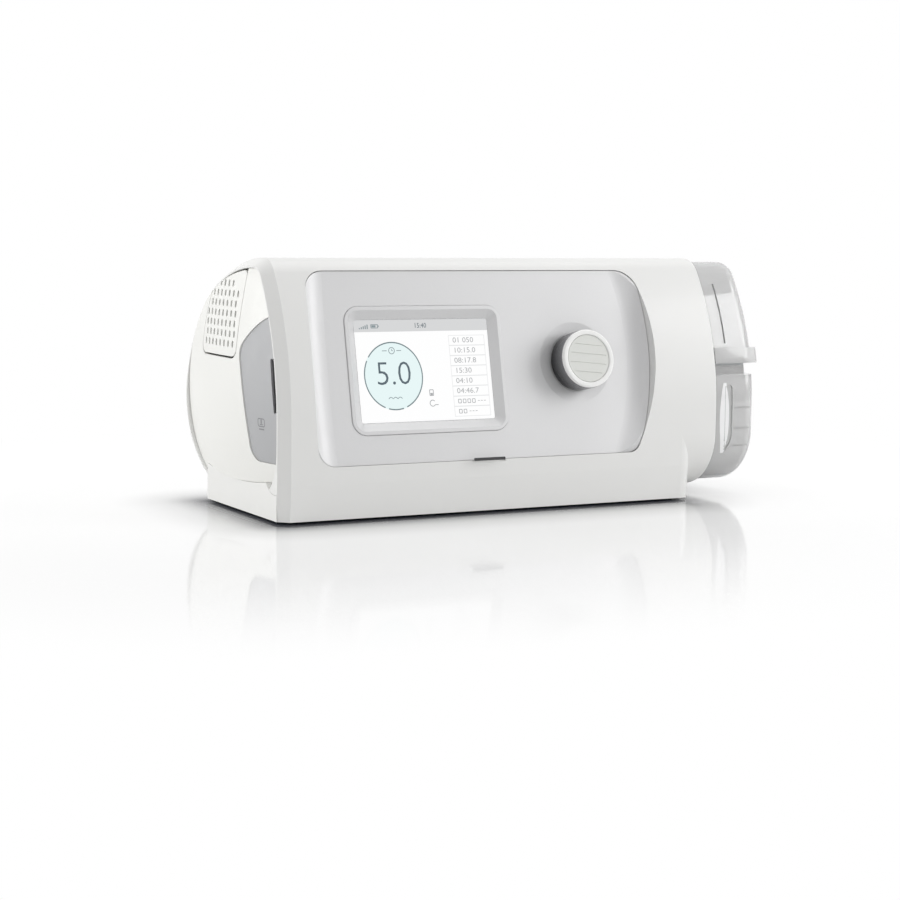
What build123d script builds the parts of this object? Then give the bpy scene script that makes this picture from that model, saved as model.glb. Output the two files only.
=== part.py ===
from build123d import *
import math
import os

# A bedside CPAP machine with a slide-in humidifier tank, in millimetres.
# Construction frame: X runs right from the left rim, Y runs back from the front skirt, Z up from the
# bottom edge of the plinth. The finished pieces are moved together so that the origin is the bottom centre.

# casing: a barrel-shaped section (Y, Z) drawn as tangent arcs, extruded along X
case_length = 246.5
case_height = 123.2
wall = 2.5
front_radius, front_turn = 130.0, 33.0
nose_radius = 14.0
roof_radius, roof_turn = 115.0, 24.3
shoulder_radius, shoulder_turn = 83.4, 46.7
heel_radius, heel_turn = 40.0, 64.0
belly_radius = 65.2
toe_radius = 29.0
split_y = 78.0
right_edge_radius = 1.2

# left rim: the barrel is bevelled down to a smaller, slightly set-back outline
rim_inset = 3.9
rim_shift = 1.1
rim_face = 0.9
rim_depth = 8.0

# plinth and front skirt
base_length = 233.0
base_depth = 93.8
skirt_crease_z = 17.0
skirt_lean = 1.2
skirt_round = 8.0
skirt_edge_radius = 2.0
end_panel_front_z = 12.6
end_panel_lobe_y = 18.4
end_panel_top_z = 14.8
end_panel_rear_z = 18.3
tray_floor = 2.2
tray_rib_count = 5
foot_radius = 6.0
foot_height = 2.0
foot_proud = 1.2
foot_margin = 17.0
screw_x_margin = 36.0
screw_ys = (30.0, 84.0)
screw_radius = 1.5
screw_head_radius = 2.9
screw_head_height = 1.5
screw_length = 8.5
boss_radius = 3.8
boss_height = 5.2

# fits
fit_gap = 0.15
run_gap = 0.35
bore_gap = 0.05

# left end cap, filter and card
dome_radius = 300.0
dome_bulge = 4.6
dome_y, dome_z = 64.0, 64.0
cap_skin = 2.2
cap_flange = 1.4
cap_flange_reach = 1.2
cover_bottom_z = 75.0
cover_top_gap = 0.85
cover_finger_gap = 1.0
cover_skin = 2.0
cover_corner = 5.0
cover_top_corners = (2.5, 6.0)
cover_side_gap = 0.5
cover_hinge_front = (1.8, 43.4, 114.6)
cover_hinge_rear = (0.1, 85.9, 102.6)
cover_pin_radius = 0.8
cover_pin_root, cover_pin_reach = 4.0, 2.8
cover_lug_radius, cover_lug_length = 2.1, 4.2
vent_width, vent_height = 1.9, 3.4
vent_pitch_y, vent_pitch_z = 5.1, 4.87
vent_top_z = 110.2
vent_starts = (57.0, 49.9, 51.2, 50.4, 50.7, 50.1, 51.3)
vent_counts = (4, 7, 7, 8, 8, 8, 8)
filter_depth = 11.0
filter_wall = 1.6
foam_thickness = 7.0
stub_radius, stub_length = 9.4, 6.0
filter_y = (51.0, 93.0)
filter_z = (77.0, 101.0)
filter_x = 6.2
filter_ear_ys = (64.0, 90.0)
filter_ear_z = 68.6
panel_recess = 0.6
side_skin = 2.2
slot_height, slot_thickness = 25.6, 3.0
slot_y, slot_z = 11.0, 63.7
card_turn, card_lean = 24.0, 7.5
card_width, card_thickness, card_length = 24.0, 2.1, 32.0
card_recess = 2.4
socket_wall = 1.1
socket_length = 24.0

# silver front panel, drawn on a plane that leans back
panel_tilt = 12.5
panel_foot_y = -4.09
panel_left, panel_left_sag = 20.0, 2.9
panel_top_s, panel_bottom_s = 120.0, 25.8
panel_right_radius = 130.6
panel_right, panel_right_s = 209.3, 80.0
panel_corner_radii = (11.0, 12.0, 6.0, 9.0)
panel_thickness = 3.0
panel_sink = 0.5
dish_reach, dish_round = 8.5, 20.0
dish_open, dish_corner = 30.0, 24.0
collar_wall = 2.0
finger_slot_x, finger_slot_width, finger_slot_height = 111.0, 19.0, 1.1

# screen stack
screen_x, screen_s = 82.1, 71.35
screen_width, screen_height = 73.44, 50.37
screen_drop = 2.7
window_radius = 1.6
bezel_rail, bezel_radius = 6.1, 7.5
bezel_lip = 1.9
bezel_proud = 0.5
lens_margin, lens_thickness = 1.8, 1.0
lcd_margin, lcd_thickness = 2.2, 3.6
display_board_thickness = 1.6
display_board_margin = 3.4

# knob and encoder
knob_x, knob_s = 166.5, 72.9
knob_radius, knob_height = 14.75, 13.6
knob_clear = 1.1
knob_press = 0.8
ring_width, ring_depth = 2.7, 1.8
knob_cap_sink = 0.5
hollow_radius, hollow_depth = 20.5, 1.6
shaft_radius = 2.5
sleeve_radius = 3.4
bush_radius = 4.4
encoder_width = 13.0

# electronics and blower
board_y, board_thickness = 38.0, 1.6
board_x = (16.0, 138.0)
board_z = (11.0, 92.0)
rail_top_z = 15.0
blower_x, blower_y = 78.0, 78.0
blower_radius = 30.0
blower_z, blower_height = 26.0, 26.0
blower_wall = 1.8
nozzle_width, nozzle_end_x = 16.0, 122.0
inlet_radius = 11.5
impeller_radius, impeller_bore = 25.0, 9.5
blade_count = 11
rotor_shaft_radius = 2.0
stator_radius, stator_height = 11.0, 9.0
cradle_z, cradle_thickness = 19.5, 2.0
duct_wall = 1.6
inlet_duct_y = (62.0, 86.0)
inlet_duct_z = (78.0, 98.0)
supply_x = (124.0, 145.0)
supply_y = (43.0, 63.0)
supply_z = (25.0, 101.0)

# humidifier bay and tank
bay_left_x = 148.0
bay_front_y = 33.0
bay_floor_z = 12.0
bay_gap = 1.0
bay_wall = 2.0
bay_corner = 6.0
tank_gap = 0.6
tank_wall = 2.2
tank_left_gap = 1.6
head_inset = 1.8
head_end_x = 274.0
head_round = 8.0
head_gap = 0.5
tub_top_z = 63.0
flange_bottom_z, flange_top_z = 69.2, 77.3
flange_inset = 0.8
neck_inset = 5.0
seal_height = 1.4
slit_x, slit_width, slit_z = 254.8, 1.0, (79.5, 110.0)
grip_heights = (46.0, 35.0, 26.0)
grip_x = 258.8
window_x, window_half_width, window_z = 255.5, 2.2, (23.0, 58.0)
heater_x, heater_y = 200.0, 60.0
heater_length, heater_width = 58.0, 38.0
heater_height = 4.0
heater_gap = 0.3
plate_thickness = 1.0
plate_land = 2.0
port_radius = 8.5
port_ys = (53.0, 84.0)
port_z = 88.0
seal_ring_radius = 10.6

# tank latch
latch_pin_y = (44.0, 68.0)
latch_pin_z = 105.0
latch_pin_radius = 1.2
latch_knuckle_radius = 2.2
latch_pin_depth = 2.6
latch_plate_inset, latch_tab_inset = 11.5, 8.5
latch_thickness = 1.7
latch_tab_proud = 2.9
latch_hook_y = (48.0, 72.0)

# outlet and power socket
outlet_x, outlet_z = 127.0, 84.0
outlet_radius, outlet_bore = 11.0, 9.0
outlet_proud = 1.2
outlet_pocket_radius, outlet_pocket_wall = 17.0, 2.0
outlet_length = 20.0
outlet_collar = 0.8
jack_x, jack_z = 34.0, 51.0
jack_bore, jack_depth, jack_collar = 3.25, 9.5, 5.4
jack_pin_radius = 1.2
jack_body = 12.0
jack_sink = 0.6
rear_vent_x, rear_vent_pitch, rear_vent_count = 62.0, 7.0, 8
rear_vent_z, rear_vent_height, rear_vent_width = 50.0, 22.0, 3.0


def along(arcs, heading):
    """How far a chain of right-hand arcs travels in Y and Z."""
    y = z = 0.0
    for radius, turn in arcs:
        start, end = math.radians(heading), math.radians(heading - turn)
        y += radius * (math.sin(start) - math.sin(end))
        z += radius * (math.cos(end) - math.cos(start))
        heading -= turn
    return y, z


rising_arcs = [(front_radius, front_turn), (nose_radius, 90 - front_turn)]
belly_turn = 180 - roof_turn - shoulder_turn - heel_turn
falling_arcs = [(roof_radius, roof_turn), (shoulder_radius, shoulder_turn), (heel_radius, heel_turn),
                (belly_radius, belly_turn)]
front_straight_z = case_height - along(rising_arcs, 90)[1]
under_z = case_height + along(falling_arcs, 0)[1]
rear_y = (along(rising_arcs, 90)[0] + along(falling_arcs[:2], 0)[0]
          + heel_radius * (1 - math.sin(math.radians(roof_turn + shoulder_turn))))
rim_bevel = rim_inset + rim_shift
opening_inset = rim_inset + rim_face
cap_inset = opening_inset + fit_gap
floor_z = under_z + wall
far = 400.0


def end_plane(x):
    return Plane(origin=(x, 0, 0), x_dir=(0, 1, 0), z_dir=(1, 0, 0))


def section(inset=0.0, shift=0.0):
    """The barrel's outline, moved inwards by inset and back by shift."""
    first = Line((inset + shift, under_z + toe_radius), (inset + shift, front_straight_z))
    edges = [first]
    for radius, turn in rising_arcs + falling_arcs:
        last = edges[-1]
        edges.append(JernArc(last @ 1, last % 1, radius - inset, -turn))
    edges.append(Line(edges[-1] @ 1, (toe_radius + shift, under_z + inset)))
    edges.append(JernArc(edges[-1] @ 1, edges[-1] % 1, toe_radius - inset, -90))
    return make_face(edges)


def barrel(inset, x0, x1, shift=0.0):
    return extrude(end_plane(x0) * section(inset, shift), x1 - x0)


def slab(x=(-far, far), y=(-far, far), z=(-far, far)):
    """A box between two values on each axis."""
    size = (x[1] - x[0], y[1] - y[0], z[1] - z[0])
    centre = ((x[0] + x[1]) / 2, (y[0] + y[1]) / 2, (z[0] + z[1]) / 2)
    return Pos(*centre) * Box(*size)


def rod(radius, start, end):
    """A cylinder from one point to another."""
    axis = Vector(*end) - Vector(*start)
    return extrude(Plane(origin=start, z_dir=axis) * Circle(radius), axis.length)


def tube(radius, bore, start, end):
    return rod(radius, start, end) - rod(bore, start, end)


# ---- casing ----

def skirt_plan(z, lean, inset=0.0, rear=toe_radius):
    """Plan of the skirt: bevelled left corner, round right corner."""
    k = inset * math.tan(math.radians(22.5))
    left, right, front = inset, base_length - inset, lean + inset
    radius = skirt_round - inset
    bend = radius * (1 - math.sqrt(0.5))
    edges = [
        Line((left, lean + rim_bevel + k), (rim_bevel + k, front)),
        Line((rim_bevel + k, front), (right - radius, front)),
        ThreePointArc((right - radius, front), (right - bend, front + bend), (right, front + radius)),
        Line((right, front + radius), (right, rear)),
        Line((right, rear), (left, rear)),
        Line((left, rear), (left, lean + rim_bevel + k)),
    ]
    return Pos(0, 0, z) * make_face(edges)


def skirt_block(inset=0.0):
    low = loft([skirt_plan(0, skirt_lean, inset), skirt_plan(skirt_crease_z, 0, inset)], ruled=True)
    high = extrude(skirt_plan(skirt_crease_z, 0, inset), under_z + toe_radius - skirt_crease_z)
    return low + high


def end_panel_face(gap=0.0):
    """Outline (Y, Z) of the plinth's left end, with the lobe of the front skirt taken out of its corner."""
    seam = rim_bevel + 0.6 + gap
    lobe = (end_panel_lobe_y + gap, end_panel_top_z + 2.6 - gap)
    low_corner = (seam, end_panel_front_z - gap)
    high_corner = (base_depth + fit_gap - gap, end_panel_rear_z - gap)
    edges = [
        Line((seam, -far if gap == 0 else 0), low_corner),
        ThreePointArc(low_corner, (lobe[0] - 3.6, low_corner[1] + 1.7), lobe),
        ThreePointArc(lobe, (50.0, end_panel_top_z - gap), high_corner),
        Line(high_corner, (high_corner[0], -far if gap == 0 else 0)),
        Line((high_corner[0], -far if gap == 0 else 0), (seam, -far if gap == 0 else 0)),
    ]
    return make_face(edges)


def case_screw_points():
    xs = (screw_x_margin, base_length - screw_x_margin)
    return [(x, y) for x in xs for y in screw_ys]


def case_block():
    """Both casing halves before they are parted."""
    rim = loft([end_plane(0) * section(rim_inset, rim_shift), end_plane(rim_bevel) * section()], ruled=True)
    body = barrel(0, rim_bevel, case_length)
    outer_edges = body.edges().filter_by_position(Axis.X, case_length - 0.01, case_length + 0.01)
    body = fillet(outer_edges, right_edge_radius)
    skirt = skirt_block()
    hollow_skirt = skirt_block(wall) & slab(z=(-1, far))
    outer = rim + body + skirt
    outer -= barrel(wall, rim_depth, case_length + 1)
    outer -= barrel(opening_inset, -1, rim_depth + 1, rim_shift)
    outer -= (hollow_skirt + Pos(0, 0, -skirt_crease_z) * extrude(skirt_plan(0, skirt_lean, wall), skirt_crease_z)) \
        - barrel(0, -1, case_length)
    outer -= extrude(end_plane(-1) * end_panel_face(), 1 + wall + fit_gap)
    for x, y in case_screw_points():
        post = rod(boss_radius, (x, y, under_z), (x, y, floor_z + boss_height)) & barrel(wall / 2, 0, case_length)
        outer += post
        outer -= rod(screw_radius + bore_gap, (x, y, -1), (x, y, floor_z + boss_height + 1))
    return outer


def board_rails():
    """Two slotted ribs on the casing floor that hold the main board's lower edge."""
    rails = Part()
    for x in (board_x[0] + 14, board_x[1] - 14):
        rib = slab((x - 3, x + 3), (board_y - 4, board_y + board_thickness + 4), (floor_z - 0.5, rail_top_z))
        rails += rib
    slot = slab(board_x, (board_y - bore_gap, board_y + board_thickness + bore_gap), (board_z[0], far))
    return rails - slot


def front_shell(case):
    shell = case & slab(y=(-far, split_y))
    collar = extrude(panel_plane * Pos(0, 0, -panel_thickness) * panel_outline(-collar_wall), 30)
    shell += collar & barrel(wall / 2, rim_depth, case_length)
    shell -= extrude(panel_plane * panel_outline(-fit_gap), 40, both=True)
    slot = slab((finger_slot_x - finger_slot_width / 2, finger_slot_x + finger_slot_width / 2), (-20, wall * 0.7))
    shell -= slot & (panel_plane * Pos(0, panel_bottom_s) * Box(far, 2 * finger_slot_height, far))
    return shell + board_rails()


def outlet_pocket(radius, extra=0.0):
    start = rear_y + outlet_proud - outlet_length - outlet_collar - extra
    return rod(radius, (outlet_x, start, outlet_z), (outlet_x, rear_y + 20, outlet_z))


def rear_shell(case):
    shell = case & slab(y=(split_y, far))
    cup = outlet_pocket(outlet_pocket_radius + outlet_pocket_wall, outlet_pocket_wall)
    shell += cup & barrel(wall / 2, rim_depth, case_length)
    shell -= outlet_pocket(outlet_pocket_radius)
    shell -= rod(outlet_radius + outlet_collar + fit_gap, (outlet_x, split_y, outlet_z), (outlet_x, far, outlet_z))
    shell -= rod(jack_collar + fit_gap, (jack_x, rear_y - 14, jack_z), (jack_x, rear_y + 5, jack_z))
    for i in range(rear_vent_count):
        x = rear_vent_x + (i - (rear_vent_count - 1) / 2) * rear_vent_pitch
        back = Plane(origin=(x, rear_y + 5, rear_vent_z), x_dir=(1, 0, 0), z_dir=(0, -1, 0))
        shell -= extrude(back * SlotOverall(rear_vent_height, rear_vent_width, rotation=90), 30)
    return shell


def base_tray():
    zone = extrude(end_plane(0) * end_panel_face(fit_gap), wall + fit_gap)
    inner_gap = wall + fit_gap
    floor = extrude(skirt_plan(0, skirt_lean, inner_gap, base_depth), tray_floor)
    right = slab((base_length - wall, base_length), (toe_radius + fit_gap, base_depth))
    back = slab((0, base_length), (base_depth - wall, base_depth))
    frame = right + back
    for i in range(tray_rib_count):
        x = base_length * (i + 1) / (tray_rib_count + 1)
        frame += slab((x - 0.9, x + 0.9), (skirt_round, base_depth))
    for y in (toe_radius + 4, base_depth - toe_radius):
        frame += slab((wall, base_length - wall), (y - 0.9, y + 0.9))
    for x, y in case_screw_points():
        frame += rod(boss_radius, (x, y, -9), (x, y, 20))
    frame &= slab((0, base_length), (skirt_round, base_depth), (0, 20))
    frame -= slab(x=(base_length - inner_gap, far), y=(-far, toe_radius + fit_gap))
    tray = floor + zone + (frame - barrel(-fit_gap, -1, case_length + 1))
    for x, y in case_screw_points():
        tray -= rod(screw_radius + bore_gap, (x, y, -1), (x, y, 20))
        tray -= rod(screw_head_radius + fit_gap, (x, y, -1), (x, y, 0.3 + screw_head_height))
    for x, y in foot_points():
        tray -= rod(foot_radius + bore_gap, (x, y, -1), (x, y, foot_height - foot_proud))
    return tray


def foot_points():
    return [(x, y) for x in (foot_margin, base_length - foot_margin) for y in (foot_margin, base_depth - foot_margin)]


def rubber_feet():
    feet = []
    for x, y in foot_points():
        foot = rod(foot_radius, (x, y, -foot_proud), (x, y, foot_height - foot_proud))
        feet.append(fillet(foot.edges().group_by(Axis.Z)[0], 0.5))
    return Part() + feet


def case_screws():
    screws = []
    for x, y in case_screw_points():
        seat = 0.3 + screw_head_height
        head = rod(screw_head_radius, (x, y, 0.3), (x, y, seat))
        head -= Pos(x, y, 0.3) * Box(3.6, 0.8, 1.2) + Pos(x, y, 0.3) * Box(0.8, 3.6, 1.2)
        screws.append(head + rod(screw_radius, (x, y, seat), (x, y, seat + screw_length)))
    return Part() + screws


# ---- left end ----

def dome(depth=0.0):
    return Pos(dome_radius - dome_bulge, dome_y, dome_z) * Sphere(dome_radius - depth)


def cover_sides(gap=0.0, below=0.0):
    """Outline (Y, Z) of the filter cover's sides and lower edge, open upwards, grown by gap and by below."""
    low = cover_bottom_z - below
    front = ThreePointArc((42.9 - gap, 121), (44.8 - gap, 98.1), (47.6 - gap, low))
    bottom = Line(front @ 1, (93.6 + gap, low))
    rear = ThreePointArc(bottom @ 1, (90.4 + gap, 88.6), (81.4 + gap, 112))
    top = Polyline(rear @ 1, (81.4 + gap, 125), (42.9 - gap, 125), front @ 0)
    face = make_face([front, bottom, rear, top])
    return fillet(face.vertices().filter_by_position(Axis.Y, low - 0.1, low + 0.1), cover_corner + gap)


def cover_face():
    face = cover_sides() & section(opening_inset + cover_top_gap, rim_shift)
    front = face.vertices().sort_by(Axis.Y)[-1]
    face = fillet([front], cover_top_corners[0])
    rear = face.vertices().sort_by(lambda v: v.X + v.Y)[-1]
    return fillet([rear], cover_top_corners[1])


def side_panel_face(gap=0.0):
    """Outline (Y, Z) of the grey side panel."""
    top = ThreePointArc((-5, 99.5 + gap), (22.0, 94.0 + gap), (39.6 + gap, 83.0 + gap))
    corner = ThreePointArc(top @ 1, (42.9 + gap, 78.6), (42.6 + gap, 73.4))
    rear = ThreePointArc(corner @ 1, (38.6 + gap, 55.0), (35.0 + gap, 36.0))
    heel = ThreePointArc(rear @ 1, (32.0 + gap, 29.0 - gap), (25.1, 26.5 - gap))
    low = Line(heel @ 1, (-5, 26.5 - gap))
    outline = make_face([top, corner, rear, heel, low, Line((-5, 26.5 - gap), (-5, 99.5 + gap))])
    return outline & section(cap_inset + 0.9 - gap, rim_shift)


def cover_pins(radius, reach):
    """Stub pins on the hinge line of the filter cover, from inside each end to reach beyond it."""
    front, rear = Vector(*cover_hinge_front), Vector(*cover_hinge_rear)
    way = (rear - front).normalized()
    return (rod(radius, tuple(front - way * reach), tuple(front + way * cover_pin_root))
            + rod(radius, tuple(rear - way * cover_pin_root), tuple(rear + way * reach)))


def card_plane():
    """The card's own frame: X into the slot, Y through its thickness, Z along its width."""
    return Plane(Pos(0, slot_y, slot_z) * Rot(-card_lean, 0, 0) * Rot(0, 0, card_turn))


def card_slot():
    return card_plane() * slab((-20, 25), (-slot_thickness / 2, slot_thickness / 2),
                               (-slot_height / 2, slot_height / 2))


def left_end_cap():
    prism = barrel(cap_inset, -20, rim_depth, rim_shift)
    skin = (prism & dome()) - (barrel(cap_inset + cap_skin, -20, rim_depth + 1, rim_shift) & dome(cap_skin))
    lugs = cover_pins(cover_lug_radius, cover_lug_length) & prism & dome()
    posts = Part()
    for y in filter_ear_ys:
        posts += rod(2.4, (-4, y, filter_ear_z), (rim_depth + cap_flange, y, filter_ear_z))
    posts &= dome()
    cap = skin + lugs + posts
    cap -= extrude(end_plane(-20) * cover_sides(cover_side_gap, cover_finger_gap), 20 + rim_depth)
    cap -= cover_pins(cover_pin_radius + bore_gap, cover_pin_reach + fit_gap)
    cap -= extrude(end_plane(-20) * side_panel_face(fit_gap), 40) + card_slot()
    flange = barrel(opening_inset - cap_flange_reach, rim_depth, rim_depth + cap_flange, rim_shift)
    flange -= barrel(cap_inset + cap_skin, rim_depth - 1, rim_depth + 5, rim_shift)
    return cap + flange - extrude(end_plane(-20) * end_panel_face(), 20 + wall + 2 * fit_gap)


def vent_points():
    """Centres (Y, Z) of the slots in the filter cover."""
    points = []
    for row, count in enumerate(vent_counts):
        z = vent_top_z - row * vent_pitch_z
        points += [(vent_starts[row] + column * vent_pitch_y, z) for column in range(count)]
    return points


def filter_cover():
    skin = (extrude(end_plane(-20) * cover_face(), 40) & dome()) - dome(cover_skin)
    for y, z in vent_points():
        skin -= extrude(end_plane(-20) * Pos(y, z) * SlotOverall(vent_height, vent_width, rotation=90), 40)
    return skin + (cover_pins(cover_pin_radius, cover_pin_reach) & dome())


def side_panel():
    skin = (extrude(end_plane(-20) * side_panel_face(), 40) & dome(panel_recess)) - dome(panel_recess + side_skin)
    return skin - card_slot()


def card_block(length, start, margin):
    return card_plane() * slab((start, start + length), (-card_thickness / 2 - margin, card_thickness / 2 + margin),
                               (-card_width / 2 - margin, card_width / 2 + margin))


def sd_card():
    card = card_block(card_length, card_recess, 0)
    corner = card_plane() * Pos(card_recess + card_length, 0, card_width / 2) * Rot(0, 45, 0) * Box(5.6, 9, 5.6)
    groove = card_plane() * slab((card_recess + 1.2, card_recess + 2.0), (-card_thickness, -card_thickness / 2 + 0.35),
                                 (-7, 7))
    return card - corner - groove


def sd_socket():
    start = card_recess + card_length - socket_length + socket_wall + 1.6
    shell = card_block(socket_length, start, socket_wall + run_gap)
    shell -= card_block(socket_length, start - socket_wall, run_gap)
    bracket = slab((22, 32), (20, board_y), (slot_z - 4, slot_z + 4))
    bracket -= card_plane() * slab(y=(-far, card_thickness / 2 + socket_wall))
    return shell + bracket


def filter_frame():
    y0, y1 = filter_y
    z0, z1 = filter_z
    x0, x1 = filter_x, filter_x + filter_depth
    tray = slab((x0, x1), (y0, y1), (z0, z1))
    tray -= slab((x0 - 1, x1 - filter_wall), (y0 + filter_wall, y1 - filter_wall), (z0 + filter_wall, z1 - filter_wall))
    tray &= barrel(cap_inset + cap_skin + fit_gap, 0, case_length, rim_shift)
    y, z = (inlet_duct_y[0] + inlet_duct_y[1]) / 2, (inlet_duct_z[0] + inlet_duct_z[1]) / 2
    tray -= rod(stub_radius - 1.4, (x0, y, z), (x1 + 1, y, z))
    tray += tube(stub_radius, stub_radius - 1.4, (x1 - filter_wall, y, z), (x1 + stub_length, y, z))
    x2 = rim_depth + cap_flange
    for y in filter_ear_ys:
        tray += slab((x2, x2 + 2), (y - 2.6, y + 2.6), (filter_ear_z - 2.6, z0 + 0.5))
    return tray


def filter_foam():
    inner = filter_wall + 0.3
    x1 = filter_x + filter_depth - filter_wall - 0.2
    foam = slab((x1 - foam_thickness, x1), (filter_y[0] + inner, filter_y[1] - inner),
                (filter_z[0] + inner, filter_z[1] - inner))
    return foam & barrel(cap_inset + cap_skin + inner, 0, case_length, rim_shift)


# ---- silver panel, screen and knob ----

tilt = math.radians(panel_tilt)
panel_plane = Plane(origin=(0, panel_foot_y, 0), x_dir=(1, 0, 0), z_dir=(0, -math.cos(tilt), math.sin(tilt)))


def panel_outline(side=0.0, end=None, radii=panel_corner_radii):
    """Outline of the silver panel in its own plane, moved in by side at left and right and by end above and below."""
    end = side if end is None else end
    top, bottom = panel_top_s - end, panel_bottom_s + end
    left = panel_left + side
    radius = panel_right_radius - side
    centre = panel_right - panel_right_radius
    right_top = centre + math.sqrt(radius ** 2 - (top - panel_right_s) ** 2)
    right_bottom = centre + math.sqrt(radius ** 2 - (panel_right_s - bottom) ** 2)
    middle = (top + bottom) / 2
    corners = [(left, top), (right_top, top), (right_bottom, bottom), (left, bottom)]
    face = make_face([
        Line(corners[0], corners[1]),
        ThreePointArc(corners[1], (centre + radius, panel_right_s), corners[2]),
        Line(corners[2], corners[3]),
        ThreePointArc(corners[3], (left - panel_left_sag, middle), corners[0]),
    ])
    for (x, s), corner_radius in zip(corners, radii):
        vertex = face.vertices().sort_by_distance((x, s, 0))[0]
        face = fillet([vertex], corner_radius)
    return face


def on_panel(face, low, high, x=screen_x, s=screen_s):
    """A face drawn round a point of the panel, extruded between two heights above the panel's plane."""
    return extrude(panel_plane * Pos(x, s, low) * face, high - low)


def panel_rod(radius, low, high, x=knob_x, s=knob_s):
    return on_panel(Circle(radius), low, high, x, s)


def rounded(width, height, radius):
    return RectangleRounded(width, height, radius)


def top_face(body):
    """The face that stands highest above the panel's plane."""
    return body.faces().sort_by(Axis((0, 0, 0), panel_plane.z_dir))[-1]


bezel_width, bezel_height = screen_width + 2 * bezel_rail, screen_height + 2 * bezel_rail
board_back = screen_drop + lens_thickness + lcd_thickness
board_post_radius = 2.6


def board_post_points():
    left, right = screen_x - bezel_width / 2 - board_post_radius - 1.0, knob_x + 14.0
    low, high = screen_s - screen_height / 2, screen_s + screen_height / 2
    return [(x, s) for x in (left, right) for s in (low, high)]


def front_panel():
    body = extrude(panel_plane * Pos(0, 0, -panel_thickness) * panel_outline(fit_gap), 30)
    body &= barrel(panel_sink, 0, case_length)
    dish = extrude(panel_outline(-dish_reach, -dish_open, (dish_corner,) * 4), 2 * dish_round)
    dish = fillet(dish.edges().group_by(Axis.Z)[0], dish_round)
    body -= panel_plane * dish
    body -= on_panel(rounded(bezel_width + 2 * fit_gap, bezel_height + 2 * fit_gap, bezel_radius + fit_gap), -20, 20)
    ball = (hollow_radius ** 2 + hollow_depth ** 2) / (2 * hollow_depth)
    body -= panel_plane * Pos(knob_x, knob_s, ball - hollow_depth) * Sphere(ball)
    body -= panel_rod(bush_radius + fit_gap, -20, 5)
    for x, s in board_post_points():
        body += on_panel(Circle(board_post_radius), -board_back, -panel_thickness + 0.2, x, s)
    return body


def screen_bezel():
    body = on_panel(rounded(bezel_width, bezel_height, bezel_radius), -board_back, bezel_proud)
    body = fillet(top_face(body).outer_wire().edges(), 0.4)
    spread = (bezel_width - screen_width) / 2 - bezel_lip
    window = loft([
        panel_plane * Pos(screen_x, screen_s, -screen_drop) * rounded(screen_width, screen_height, window_radius),
        panel_plane * Pos(screen_x, screen_s, bezel_proud + 0.001)
        * rounded(screen_width + 2 * spread, screen_height + 2 * spread, window_radius + spread * 0.8)], ruled=True)
    body -= window
    pocket = (screen_width + 2 * lcd_margin + 2 * fit_gap, screen_height + 2 * lcd_margin + 2 * fit_gap)
    body -= on_panel(rounded(*pocket, 1.0), -board_back - 1, -screen_drop)
    return body


def screen_lens():
    return on_panel(rounded(screen_width + 2 * lens_margin, screen_height + 2 * lens_margin, 1.0),
                    -screen_drop - lens_thickness, -screen_drop)


def lcd_module():
    top = -screen_drop - lens_thickness
    return on_panel(rounded(screen_width + 2 * lcd_margin, screen_height + 2 * lcd_margin, 0.8),
                    top - lcd_thickness, top)


def display_board():
    xs = [p[0] for p in board_post_points()]
    ss = [p[1] for p in board_post_points()]
    width = max(xs) - min(xs) + 2 * display_board_margin
    height = max(ss) - min(ss) + 2 * display_board_margin
    x, s = (max(xs) + min(xs)) / 2, (max(ss) + min(ss)) / 2
    top = -board_back
    board = on_panel(rounded(width, height, 3.0), top - display_board_thickness, top, x, s)
    back = top - display_board_thickness
    board += on_panel(Rectangle(14, 14), back - 1.4, back, x, s)
    board += on_panel(Rectangle(24, 5), back - 3.0, back, x - 40, s - 22)
    board += on_panel(Rectangle(8, 6), back - 2.0, back, x + 24, s + 14)
    return board


def encoder_body():
    box = on_panel(Rectangle(encoder_width, encoder_width), -board_back, -panel_thickness - 0.1, knob_x, knob_s)
    bush = panel_rod(bush_radius, -panel_thickness - 0.2, 1.4)
    body = box + bush
    return body - panel_rod(sleeve_radius + bore_gap, -board_back + 0.4, 5)


def encoder_plunger():
    low = -board_back + 0.4 + knob_press + 0.2
    return panel_rod(sleeve_radius, low, 2.0) - panel_rod(shaft_radius + bore_gap, low - 1, 3.0)


def encoder_shaft():
    low = -board_back + 0.4 + knob_press + 0.4
    shaft = panel_rod(shaft_radius, low, knob_height - ring_depth - 3)
    collar = panel_rod(sleeve_radius, 2.0, 3.0)
    return shaft + collar


def knob_profile(points):
    """Turns a profile of (radius, height) round the knob's axis."""
    plane = Plane(origin=panel_plane.from_local_coords((knob_x, knob_s, 0)), x_dir=(1, 0, 0),
                  z_dir=-panel_plane.y_dir)
    face = make_face(Polyline(*points, close=True))
    return revolve(plane * face, Axis(plane.origin, panel_plane.z_dir), 360)


def knob_body():
    base, top = knob_clear - hollow_depth * 0.5, knob_height - ring_depth
    edge, core, bore = knob_radius, 4.2, shaft_radius + bore_gap
    return knob_profile([
        (bore, 3.0), (core, 3.0), (core, top - 2.4), (edge - 2.2, top - 2.4), (edge - 2.2, base + 0.4),
        (edge - 1.6, base), (edge - 0.5, base), (edge - 0.1, base + 0.6), (edge, base + 3.0), (edge, top - 0.6),
        (edge - 0.4, top), (0, top), (0, top - 1.2), (bore, top - 1.2)])


def knob_ring():
    low, high = knob_height - ring_depth, knob_height
    outer, inner = knob_radius - 0.1, knob_radius - ring_width
    ring = panel_rod(outer, low, high) - panel_rod(inner, low, high)
    return fillet(top_face(ring).edges(), 0.7)


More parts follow.
